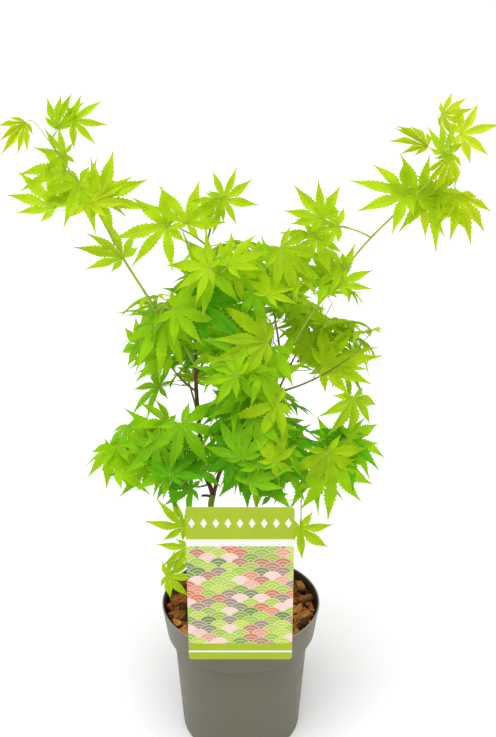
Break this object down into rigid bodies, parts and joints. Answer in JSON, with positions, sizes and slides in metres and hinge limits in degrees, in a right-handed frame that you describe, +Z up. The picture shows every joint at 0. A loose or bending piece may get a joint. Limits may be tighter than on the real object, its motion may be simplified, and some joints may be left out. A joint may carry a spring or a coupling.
{
  "type": "potted japanese maple",
  "caption": "Young green-leaved Japanese maple with two long upright shoots, growing in a round grey-brown nursery pot with bark mulch and a picture card hooked over the rim.",
  "frame": {"origin": "centre of the pot's flat underside", "axes": "+Z up along the pot's axis; -Y is the front, where the picture card hangs; +X to the viewer's right"},
  "size_m": [0.49, 0.2397, 0.7739],
  "materials": {
    "pot": "satin grey-brown moulded plastic",
    "compost": "moist red-brown bark chips over compost",
    "card": "printed card, yellow-green bands round a garden picture",
    "bark": "smooth dark red-brown young bark, olive at the foot",
    "shoot": "smooth green-brown young shoots",
    "leaf": "thin fresh green leaves, yellower at the tips of the crown"
  },
  "bodies": {
    "root": {"pot": "pot", "compost": "compost", "card": "card", "trunk": "bark", "left_bough": "bark", "right_bough": "bark", "left_long_shoot": "shoot", "right_long_shoot": "shoot", "upper_bough": "bark", "centre_bough": "bark", "upper_right_limb": "shoot", "top_left_limb": "shoot", "top_right_limb": "shoot", "left_limb": "bark", "left_middle_limb": "bark", "low_left_limb": "bark", "low_front_limb": "bark", "low_centre_limb": "bark", "heart_limb": "bark", "right_limb": "bark", "low_right_limb": "bark", "back_left_bough": "bark", "back_right_bough": "bark", "back_top_limb": "bark", "back_low_limb": "bark", "low_left_twig": "shoot", "low_right_twig": "shoot", "left_tip_leaves": "leaf", "left_upper_leaves": "leaf", "left_lower_leaves": "leaf", "top_left_leaves": "leaf", "top_leaves": "leaf", "upper_front_leaves": "leaf", "upper_right_leaves": "leaf", "right_base_leaves": "leaf", "top_right_leaves": "leaf", "right_upper_leaves": "leaf", "right_tip_leaves": "leaf", "left_leaves": "leaf", "left_middle_leaves": "leaf", "low_left_leaves": "leaf", "low_front_leaves": "leaf", "heart_leaves": "leaf", "low_centre_leaves": "leaf", "right_leaves": "leaf", "low_right_leaves": "leaf", "left_sprig_leaf": "leaf", "right_sprig_leaf": "leaf", "back_left_leaves": "leaf", "back_right_leaves": "leaf", "back_top_leaves": "leaf", "back_low_leaves": "leaf"}
  },
  "joints": []
}
